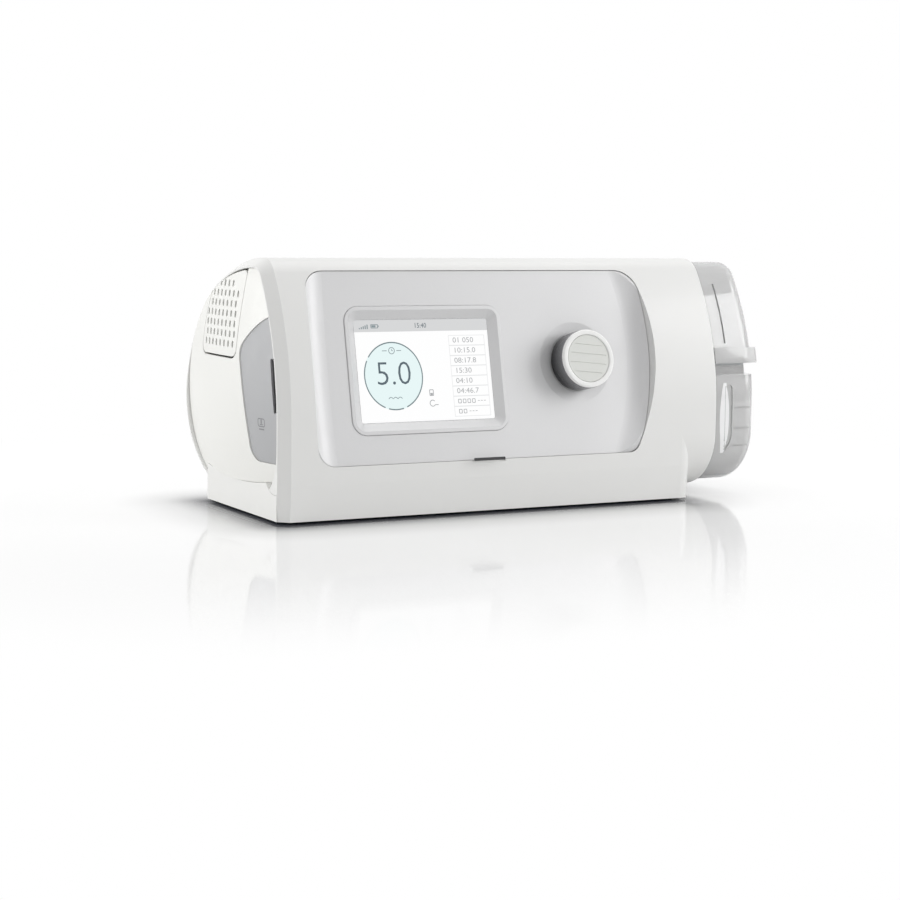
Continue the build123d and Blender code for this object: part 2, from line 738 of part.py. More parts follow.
def knob_cap():
    low, high = knob_height - ring_depth, knob_height - knob_cap_sink
    radius = knob_radius - ring_width - 0.1
    cap = panel_rod(radius, low, high)
    cap = fillet(top_face(cap).edges(), 0.35)
    for i in range(4):
        offset = (i - 1.5) * 4.6
        length = 2 * math.sqrt((radius - 1.6) ** 2 - offset ** 2)
        groove = panel_plane * Pos(knob_x, knob_s, high) * Rot(0, 0, -6) * Pos(0, offset, 0) * Box(length, 0.35, 0.5)
        cap -= groove
    return cap


# ---- electronics and blower ----

def main_board():
    board = slab(board_x, (board_y, board_y + board_thickness), board_z)
    back = board_y + board_thickness
    board += slab((26, 44), (back, back + 2.4), (60, 78))
    board += slab((54, 62), (board_y - 2.2, board_y), (24, 40))
    board += slab((118, 132), (board_y - 4, board_y), (16, 26))
    for x in (100, 110):
        board += rod(2.6, (x, board_y, 60), (x, board_y - 3.4, 60))
    return board


def volute_face(inset=0.0):
    """Plan of the blower's scroll: a round chamber with a straight nozzle off its front side."""
    chamber = Pos(blower_x, blower_y) * Circle(blower_radius - inset)
    y0 = blower_y - blower_radius + inset
    y1 = y0 + nozzle_width - 2 * inset
    nozzle = Pos((blower_x + nozzle_end_x) / 2, (y0 + y1) / 2) * Rectangle(nozzle_end_x - blower_x, y1 - y0)
    return chamber + nozzle


def blower_housing():
    low, high = blower_z, blower_z + blower_height - blower_wall
    body = extrude(Pos(0, 0, low) * volute_face(), high - low)
    body -= extrude(Pos(0, 0, low + blower_wall) * volute_face(blower_wall), high)
    y0 = blower_y - blower_radius + blower_wall
    body -= slab((nozzle_end_x - 3, nozzle_end_x + 3), (y0, y0 + nozzle_width - 2 * blower_wall),
                 (low + blower_wall, high + 1))
    body -= rod(rotor_shaft_radius + 0.6, (blower_x, blower_y, 0), (blower_x, blower_y, 60))
    return body


def blower_cover():
    top = blower_z + blower_height
    cover = extrude(Pos(0, 0, top - blower_wall) * volute_face(), blower_wall)
    lip = rod(inlet_radius + 3, (blower_x, blower_y, top - 3.2), (blower_x, blower_y, top))
    cover += lip
    return cover - rod(inlet_radius, (blower_x, blower_y, 0), (blower_x, blower_y, 99))


def impeller():
    low = blower_z + blower_wall + 1.4
    high = blower_z + blower_height - 4.4
    disc = rod(impeller_radius, (blower_x, blower_y, low), (blower_x, blower_y, low + 1.2))
    hub = rod(5, (blower_x, blower_y, low), (blower_x, blower_y, low + 9))
    wheel = disc + hub
    reach = impeller_radius - impeller_bore - 0.6
    for i in range(blade_count):
        inner, outer = Vector(impeller_bore, 0), Vector(impeller_bore + reach, -6)
        mid = (inner + outer) / 2 + Vector(0, 2.4)
        strip = ThreePointArc(inner, mid, outer)
        blade = extrude(make_face(offset(strip, 0.5, side=Side.BOTH)), high - low - 1)
        wheel += Pos(blower_x, blower_y, low + 1) * Rot(0, 0, i * 360 / blade_count) * blade
    return wheel - rod(rotor_shaft_radius, (blower_x, blower_y, 0), (blower_x, blower_y, 99))


def motor_rotor():
    low = blower_z + blower_wall + 1.4
    shaft = rod(rotor_shaft_radius, (blower_x, blower_y, blower_z - stator_height + 1.4),
                (blower_x, blower_y, low + 10.5))
    return shaft


def motor_stator():
    body = rod(stator_radius, (blower_x, blower_y, blower_z - stator_height), (blower_x, blower_y, blower_z))
    body -= rod(rotor_shaft_radius + bore_gap, (blower_x, blower_y, blower_z - stator_height + 1.2),
                (blower_x, blower_y, blower_z + 1))
    return body


def mount_points():
    return [(blower_x + 25 * math.cos(a), blower_y + 25 * math.sin(a))
            for a in [math.radians(90 + 120 * i) for i in range(3)]]


def blower_mounts():
    bushes = []
    for x, y in mount_points():
        bushes.append(tube(3.2, 1.2, (x, y, cradle_z + cradle_thickness), (x, y, blower_z)))
    return Part() + bushes


def blower_cradle():
    top = cradle_z + cradle_thickness
    ring = tube(blower_radius - 1, stator_radius + 1.5, (blower_x, blower_y, cradle_z), (blower_x, blower_y, top))
    inside = barrel(wall, rim_depth, case_length)
    legs = Part()
    for dx, dy in ((-20, -18), (20, -18), (-20, 15), (20, 15)):
        legs += rod(3, (blower_x + dx, blower_y + dy, 0), (blower_x + dx, blower_y + dy, cradle_z + 1))
    return (ring + legs) & inside


def inlet_duct():
    y0, y1 = inlet_duct_y
    z0, z1 = inlet_duct_z
    x0, x1 = filter_x + filter_depth, blower_x + inlet_radius + 2.5
    box = slab((x0, x1), (y0, y1), (z0, z1))
    drop_top = blower_z + blower_height
    box += rod(inlet_radius + 2, (blower_x, blower_y, drop_top), (blower_x, blower_y, z0 + 1))
    void = slab((x0 + duct_wall, x1 - duct_wall), (y0 + duct_wall, y1 - duct_wall), (z0 + duct_wall, z1 - duct_wall))
    void += rod(inlet_radius, (blower_x, blower_y, drop_top - 1), (blower_x, blower_y, z0 + 3))
    y, z = (y0 + y1) / 2, (z0 + z1) / 2
    void += rod(stub_radius + bore_gap, (x0 - 1, y, z), (x0 + stub_length + 0.2, y, z))
    return box - void


def supply_duct():
    box = slab(supply_x, supply_y, supply_z)
    void = slab((supply_x[0] + duct_wall, supply_x[1] - duct_wall), (supply_y[0] + duct_wall, supply_y[1] - duct_wall),
                (supply_z[0] + duct_wall, supply_z[1] - duct_wall))
    y0 = blower_y - blower_radius + blower_wall
    low = blower_z + blower_wall
    mouth = slab((supply_x[0] - 3, supply_x[0] + 3), (y0, supply_y[1] - duct_wall - 0.2),
                 (low, blower_z + blower_height - blower_wall))
    sleeve = slab((nozzle_end_x, supply_x[0] + 1), (y0 - duct_wall, supply_y[1] - 0.2),
                  (low - duct_wall, blower_z + blower_height - blower_wall + duct_wall))
    port = rod(port_radius + 1.5, (supply_x[1] - 1, port_ys[0], port_z), (bay_left_x, port_ys[0], port_z))
    bore = rod(port_radius, (supply_x[1] - 5, port_ys[0], port_z), (bay_left_x + 1, port_ys[0], port_z))
    return box + sleeve + port - void - mouth - bore


# ---- humidifier bay and tank ----

bay_outer_inset = wall + bay_gap
tank_left_x = bay_left_x + bay_wall + tank_left_gap
tank_inset = bay_wall + tank_gap
head_start_x = case_length + head_gap
tank_floor_z = bay_floor_z + tank_inset


def bay_section(inset=0.0):
    """Section of the bay: the barrel's outline cut off in front and below, moved in by inset."""
    face = section(bay_outer_inset + inset)
    y0, z0 = bay_front_y + inset, bay_floor_z + inset
    face &= Pos((y0 + far) / 2, (z0 + far) / 2) * Rectangle(far - y0, far - z0)
    sharp = face.vertices().filter_by_position(Axis.X, y0 - 0.1, y0 + 0.1) \
        + face.vertices().filter_by_position(Axis.Y, z0 - 0.1, z0 + 0.1).sort_by(Axis.X)[-1:]
    return fillet(sharp, bay_corner - inset)


def bay_prism(inset, x0, x1):
    return extrude(end_plane(x0) * bay_section(inset), x1 - x0)


def bay_liner():
    liner = bay_prism(0, bay_left_x, case_length - 1.5)
    mouth = barrel(wall + bore_gap, case_length - 3.5, case_length - 0.8)
    liner += mouth
    liner -= bay_prism(bay_wall, bay_left_x + bay_wall, case_length + 1)
    for y in port_ys:
        liner -= rod(port_radius, (bay_left_x - 1, y, port_z), (bay_left_x + 5, y, port_z))
    liner -= heater_box(bore_gap, -10, 10)
    for x in (bay_left_x + 13, case_length - 11):
        for y in (bay_front_y + 12, bay_front_y + 34):
            leg = rod(2.5, (x, y, 0), (x, y, bay_floor_z + 0.5))
            liner += leg & barrel(wall, rim_depth, case_length)
    return liner


def heater_box(gap, low, high):
    top = bay_floor_z + bay_wall
    plan = RectangleRounded(heater_length + 2 * gap, heater_width + 2 * gap, 8 + gap)
    return extrude(Pos(heater_x, heater_y, top + low) * plan, high - low)


def heater_plate():
    top = tank_inset - bay_wall - heater_gap
    return heater_box(0, -heater_height + top, top)


def port_seals():
    rings = []
    for y in port_ys:
        start = bay_left_x + bay_wall
        rings.append(tube(seal_ring_radius, port_radius, (start, y, port_z),
                          (start + tank_left_gap - run_gap, y, port_z)))
    return Part() + rings


def head_block(inset, x0, x1, round_radius):
    """The exposed end of the tank: a slice of the barrel with a rounded outer edge."""
    block = barrel(inset, x0, x1)
    edges = block.edges().filter_by_position(Axis.X, x1 - 0.01, x1 + 0.01)
    return fillet(edges, round_radius)


def tank_tub():
    body = bay_prism(tank_inset, tank_left_x, head_start_x + 1)
    body &= slab(z=(-far, flange_bottom_z - seal_height))
    head = head_block(head_inset, head_start_x, head_end_x, head_round)
    head &= slab(z=(-far, tub_top_z))
    neck = barrel(neck_inset + head_inset, head_start_x, head_end_x - neck_inset)
    neck &= slab(z=(tub_top_z - 1, flange_bottom_z - seal_height))
    tub = body + head + neck
    tub -= bay_prism(tank_inset + tank_wall, tank_left_x + tank_wall, head_start_x + 4) & slab(z=(0, 90))
    room = head_block(head_inset + tank_wall, head_start_x + tank_wall, head_end_x - tank_wall,
                      head_round - tank_wall)
    tub -= room & slab(z=(0, tub_top_z - tank_wall))
    throat = barrel(neck_inset + head_inset + tank_wall, head_start_x + tank_wall, head_end_x - neck_inset - tank_wall)
    tub -= throat & slab(z=(tub_top_z - tank_wall - 1, 90))
    # the metal plate closes a window in the tub's floor
    tub -= base_plate_block(0)
    tub -= heater_box(-plate_land, 0, 2 * tank_inset)
    # catch for the latch, window and grip lines on the exposed end
    tub += slab((head_end_x - neck_inset - 1, head_end_x - 2), latch_hook_y,
                (flange_bottom_z - seal_height - 1.2, flange_bottom_z - seal_height))
    skin = barrel(0, head_start_x, case_length + 60) - barrel(head_inset + 0.7, head_start_x - 1, case_length + 61)
    for z in grip_heights:
        tub -= skin & slab((grip_x, head_end_x - head_round / 2), (-5, 60), (z - 0.4, z + 0.4))
    tub -= skin & window_lens()
    return tub


def window_lens():
    """A tall pointed lens shape, cut from the front."""
    low, high = window_z
    left = window_x - window_half_width
    right = window_x + window_half_width
    edges = [
        Line((left, low + 8), (left, high - 2)),
        ThreePointArc((left, high - 2), (window_x, high), (right, high - 2)),
        Line((right, high - 2), (right, low + 9)),
        ThreePointArc((right, low + 9), (window_x + 1.2, low + 4), (window_x - 0.8, low)),
        ThreePointArc((window_x - 0.8, low), (left + 0.5, low + 4), (left, low + 8)),
    ]
    face = Plane.XZ * make_face(edges)
    return extrude(face, 60, both=True) & slab(y=(-5, 60))


def base_plate_block(gap):
    plan = RectangleRounded(heater_length + 4 - 2 * gap, heater_width + 4 - 2 * gap, 9)
    return extrude(Pos(heater_x, heater_y, tank_floor_z) * plan, plate_thickness)


def tank_base_plate():
    return base_plate_block(bore_gap)


def tank_seal():
    """A gasket between tub and lid, as wide as their walls."""
    z = (flange_bottom_z - seal_height, flange_bottom_z)
    body = bay_prism(tank_inset, tank_left_x, head_start_x + 1)
    neck = barrel(neck_inset + head_inset, head_start_x, head_end_x - neck_inset)
    ring = (body + neck) & slab(z=z)
    ring -= bay_prism(tank_inset + tank_wall, tank_left_x + tank_wall, head_start_x + 4)
    ring -= barrel(neck_inset + head_inset + tank_wall, head_start_x + tank_wall,
                   head_end_x - neck_inset - tank_wall)
    return ring


def latch_axis_x():
    return head_end_x - latch_pin_depth


def tank_lid():
    body = bay_prism(tank_inset, tank_left_x, head_start_x + 1) & slab(z=(flange_bottom_z, far))
    head = head_block(head_inset, head_start_x, head_end_x, head_round) & slab(z=(flange_bottom_z, far))
    band = head_block(flange_inset, head_start_x, head_end_x, 1.6) & slab(z=(flange_bottom_z, flange_top_z))
    lid = body + head + band
    pocket = (latch_axis_x() - latch_knuckle_radius - 0.8, head_end_x + 1)
    pocket_y = (latch_pin_y[0] - 1.0, latch_pin_y[1] + 1.0)
    pocket_z = (latch_pin_z - latch_knuckle_radius - 2.4, latch_pin_z + latch_knuckle_radius + 0.7)
    thick = slab((pocket[0] - tank_wall, head_end_x), (pocket_y[0] - tank_wall, pocket_y[1] + tank_wall),
                 (pocket_z[0] - tank_wall, pocket_z[1] + tank_wall))
    hollow = bay_prism(tank_inset + tank_wall, tank_left_x + tank_wall, head_start_x + 4)
    hollow += head_block(head_inset + tank_wall, head_start_x + tank_wall, head_end_x - tank_wall,
                         head_round - tank_wall) & slab(z=(flange_bottom_z + tank_wall, far))
    hollow += barrel(neck_inset + head_inset + tank_wall, head_start_x + tank_wall,
                     head_end_x - neck_inset - tank_wall) & slab(z=(0, flange_bottom_z + tank_wall + 1))
    lid -= hollow - thick
    for y in port_ys:
        lid -= rod(port_radius, (tank_left_x - 1, y, port_z), (tank_left_x + tank_wall + 1, y, port_z))
    skin = barrel(0, head_start_x, head_end_x) - barrel(head_inset + 1.3, head_start_x - 1, head_end_x + 1)
    lid -= skin & slab((slit_x - slit_width / 2, slit_x + slit_width / 2), (-5, 70), slit_z)
    lid -= slab(pocket, pocket_y, pocket_z)
    lid -= rod(latch_pin_radius, (latch_axis_x(), latch_pin_y[0] - 2.5, latch_pin_z),
               (latch_axis_x(), latch_pin_y[1] + 2.5, latch_pin_z))
    return lid


def latch_pin():
    return rod(latch_pin_radius, (latch_axis_x(), latch_pin_y[0] - 2.5, latch_pin_z),
               (latch_axis_x(), latch_pin_y[1] + 2.5, latch_pin_z))


def tank_latch():
    x0 = head_end_x + run_gap
    plate = barrel(latch_plate_inset, x0, x0 + latch_thickness) & slab(z=(flange_top_z - 1, latch_pin_z - 1.2))
    tab = barrel(latch_tab_inset, x0, head_end_x + latch_tab_proud) & slab(z=(flange_bottom_z, flange_top_z))
    tab = fillet(tab.edges().filter_by_position(Axis.X, head_end_x + latch_tab_proud - 0.01,
                                                head_end_x + latch_tab_proud + 0.01), 0.6)
    latch = plate + tab
    inner_y = (latch_pin_y[0] + run_gap, latch_pin_y[1] - run_gap)
    knuckle = rod(latch_knuckle_radius, (latch_axis_x(), inner_y[0], latch_pin_z),
                  (latch_axis_x(), inner_y[1], latch_pin_z))
    web = slab((latch_axis_x(), x0 + latch_thickness), inner_y, (latch_pin_z - latch_knuckle_radius, latch_pin_z - 0.2))
    latch += knuckle + web
    # hook that passes under the tub's catch
    y0, y1 = latch_hook_y
    hook_z = flange_bottom_z - seal_height - 1.2 - run_gap
    latch += slab((x0, x0 + latch_thickness), (y0, y1), (hook_z - 1.4, flange_bottom_z + 1))
    latch += slab((head_end_x - neck_inset + 1.5, x0 + 0.5), (y0, y1), (hook_z - 1.4, hook_z))
    latch -= rod(latch_pin_radius + bore_gap, (latch_axis_x(), inner_y[0] - 1, latch_pin_z),
                 (latch_axis_x(), inner_y[1] + 1, latch_pin_z))
    return latch


# ---- outlet and power ----

def air_outlet():
    bay_y = port_ys[1]
    end_y = rear_y + outlet_proud
    corner = (outlet_x, bay_y, port_z)
    exit_point = (outlet_x, bay_y, outlet_z)
    outer = rod(port_radius + 1.5, (bay_left_x, bay_y, port_z), corner)
    outer += Pos(*corner) * Sphere(port_radius + 1.5)
    outer += rod(outlet_radius, exit_point, (outlet_x, end_y, outlet_z))
    outer += rod(outlet_radius + outlet_collar, exit_point, (outlet_x, end_y - outlet_length, outlet_z))
    outer += Pos(*exit_point) * Sphere(outlet_radius + outlet_collar)
    bore = rod(port_radius, (bay_left_x + 1, bay_y, port_z), corner)
    bore += Pos(*corner) * Sphere(port_radius)
    bore += rod(outlet_bore, exit_point, (outlet_x, end_y + 1, outlet_z))
    bore += Pos(*exit_point) * Sphere(outlet_bore)
    return outer - bore


def dc_inlet():
    face_y = rear_y - jack_sink
    collar = rod(jack_collar, (jack_x, face_y - 12, jack_z), (jack_x, face_y, jack_z))
    body = slab((jack_x - jack_body / 2, jack_x + jack_body / 2), (rear_y - wall - 1.2 - jack_body, rear_y - wall - 1.2),
                (jack_z - jack_body / 2, jack_z + jack_body / 2))
    jack = collar + body
    jack -= rod(jack_bore, (jack_x, face_y - jack_depth, jack_z), (jack_x, face_y + 1, jack_z))
    jack += rod(jack_pin_radius, (jack_x, face_y - jack_depth - 1, jack_z), (jack_x, face_y - 1.5, jack_z))
    return jack


def build():
    case = case_block()
    return {
        "front_shell": front_shell(case),
        "rear_shell": rear_shell(case),
        "base_tray": base_tray(),
        "rubber_feet": rubber_feet(),
        "case_screws": case_screws(),
        "left_end_cap": left_end_cap(),
        "filter_cover": filter_cover(),
        "side_panel": side_panel(),
        "sd_card": sd_card(),
        "sd_socket": sd_socket(),
        "filter_frame": filter_frame(),
        "filter_foam": filter_foam(),
        "front_panel": front_panel(),
        "screen_bezel": screen_bezel(),
        "screen_lens": screen_lens(),
        "lcd_module": lcd_module(),
        "display_board": display_board(),
        "encoder_body": encoder_body(),
        "encoder_plunger": encoder_plunger(),
        "encoder_shaft": encoder_shaft(),
        "knob_body": knob_body(),
        "knob_ring": knob_ring(),
        "knob_cap": knob_cap(),
        "main_board": main_board(),
        "blower_housing": blower_housing(),
        "blower_cover": blower_cover(),
        "impeller": impeller(),
        "motor_rotor": motor_rotor(),
        "motor_stator": motor_stator(),
        "blower_mounts": blower_mounts(),
        "blower_cradle": blower_cradle(),
        "inlet_duct": inlet_duct(),
        "supply_duct": supply_duct(),
        "bay_liner": bay_liner(),
        "port_seals": port_seals(),
        "heater_plate": heater_plate(),
        "tank_tub": tank_tub(),
        "tank_lid": tank_lid(),
        "tank_seal": tank_seal(),
        "tank_base_plate": tank_base_plate(),
        "latch_pin": latch_pin(),
        "tank_latch": tank_latch(),
        "air_outlet": air_outlet(),
        "dc_inlet": dc_inlet(),
    }


nodes = build()
boxes = [shape.bounding_box() for shape in nodes.values()]
middle = [(min(getattr(b.min, k) for b in boxes) + max(getattr(b.max, k) for b in boxes)) / 2 for k in "XY"]
place = Pos(-middle[0], -middle[1], -min(b.min.Z for b in boxes))
print("moved by", place.position)
os.makedirs("parts", exist_ok=True)
for name, shape in nodes.items():
    export_step(place * shape, f"parts/{name}.step")
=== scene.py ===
import bpy, bmesh, math
from mathutils import Matrix, Vector


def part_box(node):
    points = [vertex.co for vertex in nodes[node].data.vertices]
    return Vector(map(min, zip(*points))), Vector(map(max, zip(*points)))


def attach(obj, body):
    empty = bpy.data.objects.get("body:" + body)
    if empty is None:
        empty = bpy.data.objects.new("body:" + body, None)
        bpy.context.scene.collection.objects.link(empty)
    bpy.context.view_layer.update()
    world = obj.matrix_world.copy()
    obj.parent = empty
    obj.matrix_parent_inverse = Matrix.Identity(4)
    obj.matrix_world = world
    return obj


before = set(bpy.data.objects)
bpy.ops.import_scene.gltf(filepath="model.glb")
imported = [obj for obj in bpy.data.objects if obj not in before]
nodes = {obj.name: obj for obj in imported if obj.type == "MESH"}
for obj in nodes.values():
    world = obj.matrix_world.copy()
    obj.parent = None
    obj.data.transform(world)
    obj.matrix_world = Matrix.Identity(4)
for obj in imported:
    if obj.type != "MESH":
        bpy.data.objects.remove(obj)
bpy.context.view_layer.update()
scene = bpy.context.scene
mm = 0.001

caseLow = Vector(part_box("front_shell")[0])    # lower front left corner of the casing


def casePoint(x, y, z):
    # millimetres from the casing's lower front left corner to the scene
    return caseLow + Vector((x, y, z)) * mm


# camera, floor and light
view = {
    "position": (-377.87, -872.70, 144.96), "yaw": 28.144, "pitch": -6.570, "roll": 0.741,
    "lens": 81.96, "sensor": 36, "clip": (0.01, 50),
}


def makeCamera():
    yaw, pitch, roll = (math.radians(view[k]) for k in ("yaw", "pitch", "roll"))
    ahead = Vector((math.sin(yaw) * math.cos(pitch), math.cos(yaw) * math.cos(pitch), math.sin(pitch)))
    level = Vector((math.cos(yaw), -math.sin(yaw), 0))
    upright = level.cross(ahead)
    right = level * math.cos(roll) + upright * math.sin(roll)
    up = upright * math.cos(roll) - level * math.sin(roll)
    data = bpy.data.cameras.new("camera")
    data.lens = view["lens"]
    data.sensor_width = view["sensor"]
    data.sensor_fit = "HORIZONTAL"
    data.clip_start, data.clip_end = view["clip"]
    camera = bpy.data.objects.new("camera", data)
    scene.collection.objects.link(camera)
    turn = Matrix((right, up, -ahead)).transposed().to_4x4()
    camera.matrix_world = Matrix.Translation(casePoint(*view["position"])) @ turn
    scene.camera = camera


lamps = [
    {"name": "rightSoftbox", "at": (0.85, -0.62, 0.45), "size": (0.5, 0.7), "watts": 4.4},
    {"name": "leftSoftbox", "at": (-1.20, 0.85, 0.32), "size": (0.8, 1.1), "watts": 11.0},
    {"name": "topSoftbox", "at": (0.1, 0.25, 1.5), "size": (1.6, 1.2), "watts": 8.4},
]
air = {"ambient": 0.56, "seen": 1.0}
aimAt = Vector((0, 0, 0.05))


def larger(tree, first, second):
    pick = tree.nodes.new("ShaderNodeMath")
    pick.operation = "MAXIMUM"
    tree.links.new(first, pick.inputs[0])
    tree.links.new(second, pick.inputs[1])
    return pick.outputs[0]


def whiteAir(tree, strength):
    node = tree.nodes.new("ShaderNodeBackground")
    node.inputs["Color"].default_value = (1, 1, 1, 1)
    node.inputs["Strength"].default_value = strength
    return node.outputs[0]


def mixShaders(tree, factor, first, second):
    mix = tree.nodes.new("ShaderNodeMixShader")
    for source, slot in zip((factor, first, second), mix.inputs):
        tree.links.new(source, slot)
    return mix.outputs[0]


def makeLight():
    for lamp in lamps:
        data = bpy.data.lights.new(lamp["name"], "AREA")
        data.shape = "RECTANGLE"
        data.size, data.size_y = lamp["size"]
        data.energy = lamp["watts"]
        holder = bpy.data.objects.new(lamp["name"], data)
        holder.location = lamp["at"]
        aim = aimAt - Vector(lamp["at"])
        holder.rotation_euler = aim.to_track_quat("-Z", "Y").to_euler()
        scene.collection.objects.link(holder)
    world = bpy.data.worlds.new("studio")
    scene.world = world
    world.use_nodes = True
    tree = world.node_tree
    tree.nodes.clear()
    output = tree.nodes.new("ShaderNodeOutputWorld")
    path = tree.nodes.new("ShaderNodeLightPath").outputs
    plain = larger(tree, larger(tree, path["Is Camera Ray"], path["Is Transmission Ray"]), path["Is Glossy Ray"])
    backdrop = mixShaders(tree, plain, whiteAir(tree, air["ambient"]), whiteAir(tree, air["seen"]))
    tree.links.new(backdrop, output.inputs["Surface"])


floorSet = {
    "half": 6.0, "colour": 0.84, "seenColour": (0.53, 0.53, 0.53), "roughness": 0.06, "lift": 0.26,
    "shadeColour": (0.040, 0.043, 0.053), "middle": (-0.0257, -0.0142), "footprint": (0.107, 0.043),
    "contact": 0.031, "shade": 0.055, "white": (0.10, 0.30), "ior": 1.4, "gloss": 0.42,
}


def vectorStep(tree, operation, source, value=None):
    node = tree.nodes.new("ShaderNodeVectorMath")
    node.operation = operation
    if value:
        node.inputs[1].default_value = value
    tree.links.new(source, node.inputs[0])
    return node.outputs


def mapRange(tree, source, ends, results=(0, 1), kind="LINEAR"):
    node = tree.nodes.new("ShaderNodeMapRange")
    node.interpolation_type = kind
    node.inputs["From Min"].default_value, node.inputs["From Max"].default_value = ends
    node.inputs["To Min"].default_value, node.inputs["To Max"].default_value = results
    tree.links.new(source, node.inputs["Value"])
    return node.outputs["Result"]


def mixColours(tree, factor, low, high):
    node = tree.nodes.new("ShaderNodeMix")
    node.data_type = "RGBA"
    node.inputs["A"].default_value = low + (1,)
    node.inputs["B"].default_value = high + (1,)
    tree.links.new(factor, node.inputs["Factor"])
    return node.outputs["Result"]


def makeFloor():
    # glossy white close to the object, plain white further out
    s = floorSet
    bm = bmesh.new()
    bmesh.ops.create_grid(bm, x_segments=1, y_segments=1, size=s["half"])
    mesh = bpy.data.meshes.new("floor")
    bm.to_mesh(mesh)
    bm.free()
    floor = bpy.data.objects.new("floor", mesh)
    scene.collection.objects.link(floor)
    material = bpy.data.materials.new("floorWhite")
    material.use_nodes = True
    tree = material.node_tree
    matt = tree.nodes.new("ShaderNodeBsdfDiffuse")
    matt.inputs["Color"].default_value = (s["colour"],) * 3 + (1,)
    shader = tree.nodes["Principled BSDF"]
    shader.inputs["Roughness"].default_value = s["roughness"]
    shader.inputs["IOR"].default_value = s["ior"]
    glow = tree.nodes.new("ShaderNodeEmission")
    lit = tree.nodes.new("ShaderNodeAddShader")
    tree.links.new(shader.outputs[0], lit.inputs[0])
    tree.links.new(glow.outputs[0], lit.inputs[1])
    white = tree.nodes.new("ShaderNodeEmission")
    white.inputs["Strength"].default_value = 1.0

    # distance from the object's footprint
    coords = tree.nodes.new("ShaderNodeTexCoord")
    centred = vectorStep(tree, "SUBTRACT", coords.outputs["Object"], s["middle"] + (0,))
    across = vectorStep(tree, "ABSOLUTE", centred["Vector"])
    past = vectorStep(tree, "SUBTRACT", across["Vector"], s["footprint"] + (0,))
    outside = vectorStep(tree, "MAXIMUM", past["Vector"])
    reach = vectorStep(tree, "LENGTH", outside["Vector"])["Value"]

    # contact shade, then gloss, then plain white
    touch = mapRange(tree, reach, (0, s["contact"]), kind="SMOOTHERSTEP")
    tree.links.new(mixColours(tree, touch, s["shadeColour"], s["seenColour"]), shader.inputs["Base Color"])
    gloss = tree.nodes.new("ShaderNodeMath")
    gloss.operation = "MULTIPLY"
    gloss.inputs[1].default_value = s["gloss"]
    tree.links.new(touch, gloss.inputs[0])
    tree.links.new(gloss.outputs[0], shader.inputs["Specular IOR Level"])
    rise = mapRange(tree, reach, (0, s["shade"]), (0, s["lift"]), "SMOOTHSTEP")
    tree.links.new(rise, glow.inputs["Strength"])
    fade = mapRange(tree, reach, s["white"], kind="SMOOTHSTEP")
    outward = mixShaders(tree, fade, lit.outputs[0], white.outputs[0])
    path = tree.nodes.new("ShaderNodeLightPath")
    pick = mixShaders(tree, path.outputs["Is Camera Ray"], matt.outputs[0], outward)
    tree.links.new(pick, tree.nodes["Material Output"].inputs["Surface"])
    mesh.materials.append(material)


makeCamera()
makeLight()
makeFloor()
print("camera, light and floor made")

# finishes
finishes = {
    "casingWhite": {"colour": (0.80, 0.80, 0.787), "roughness": 0.38, "grain": 2600, "depth": 0.010, "coat": 0.12},
    "endWhite": {"colour": (0.83, 0.83, 0.80), "roughness": 0.42, "grain": 2600, "depth": 0.012, "coat": 0.08},
    "trayWhite": {"colour": (0.81, 0.81, 0.79), "roughness": 0.42, "grain": 2400, "depth": 0.014, "coat": 0.05},
    "sideGrey": {"colour": (0.42, 0.425, 0.435), "roughness": 0.46, "grain": 3200, "depth": 0.018, "coat": 0.0},
    "knobWhite": {"colour": (0.88, 0.88, 0.87), "roughness": 0.22, "grain": 1200, "depth": 0.003, "coat": 0.4},
    "knobGrey": {"colour": (0.70, 0.71, 0.68), "roughness": 0.40, "grain": 2600, "depth": 0.012, "coat": 0.05},
    "innerWhite": {"colour": (0.62, 0.63, 0.63), "roughness": 0.5, "grain": 1800, "depth": 0.02, "coat": 0.0},
    "innerBlack": {"colour": (0.022, 0.022, 0.024), "roughness": 0.45, "grain": 2200, "depth": 0.02, "coat": 0.0},
    "seal": {"colour": (0.55, 0.57, 0.58), "roughness": 0.55, "grain": 900, "depth": 0.01, "coat": 0.0},
    "markGrey": {"colour": (0.22, 0.22, 0.23), "roughness": 0.5, "grain": 2600, "depth": 0.004, "coat": 0.0},
    "footRubber": {"colour": (0.03, 0.03, 0.03), "roughness": 0.75, "grain": 1500, "depth": 0.06, "coat": 0.0},
    "display": {"colour": (0.55, 0.6, 0.62), "roughness": 0.2, "grain": 1500, "depth": 0.0, "coat": 0.3},
}
made = {}


def startMaterial(name):
    material = bpy.data.materials.new(name)
    material.use_nodes = True
    made[name] = material
    tree = material.node_tree
    coords = tree.nodes.new("ShaderNodeTexCoord")
    return tree, tree.nodes["Principled BSDF"], coords


def noiseOn(tree, coords, scale, detail=2.0):
    noise = tree.nodes.new("ShaderNodeTexNoise")
    noise.inputs["Scale"].default_value = scale
    noise.inputs["Detail"].default_value = detail
    tree.links.new(coords.outputs["Object"], noise.inputs["Vector"])
    return noise


def spread(tree, source, low, high):
    # turns a 0 to 1 pattern into a range of values
    return mapRange(tree, source, (0.3, 0.7), (low, high))


def tone(tree, source, colour, change):
    # the colour, a little darker and lighter with the pattern
    dark = tuple(c * (1 - change) for c in colour)
    light = tuple(min(1.0, c * (1 + change)) for c in colour)
    return mixColours(tree, source, dark, light)


def bumpOn(tree, shader, source, depth):
    bump = tree.nodes.new("ShaderNodeBump")
    bump.inputs["Strength"].default_value = 0.5
    bump.inputs["Distance"].default_value = depth * mm
    tree.links.new(source, bump.inputs["Height"])
    tree.links.new(bump.outputs["Normal"], shader.inputs["Normal"])


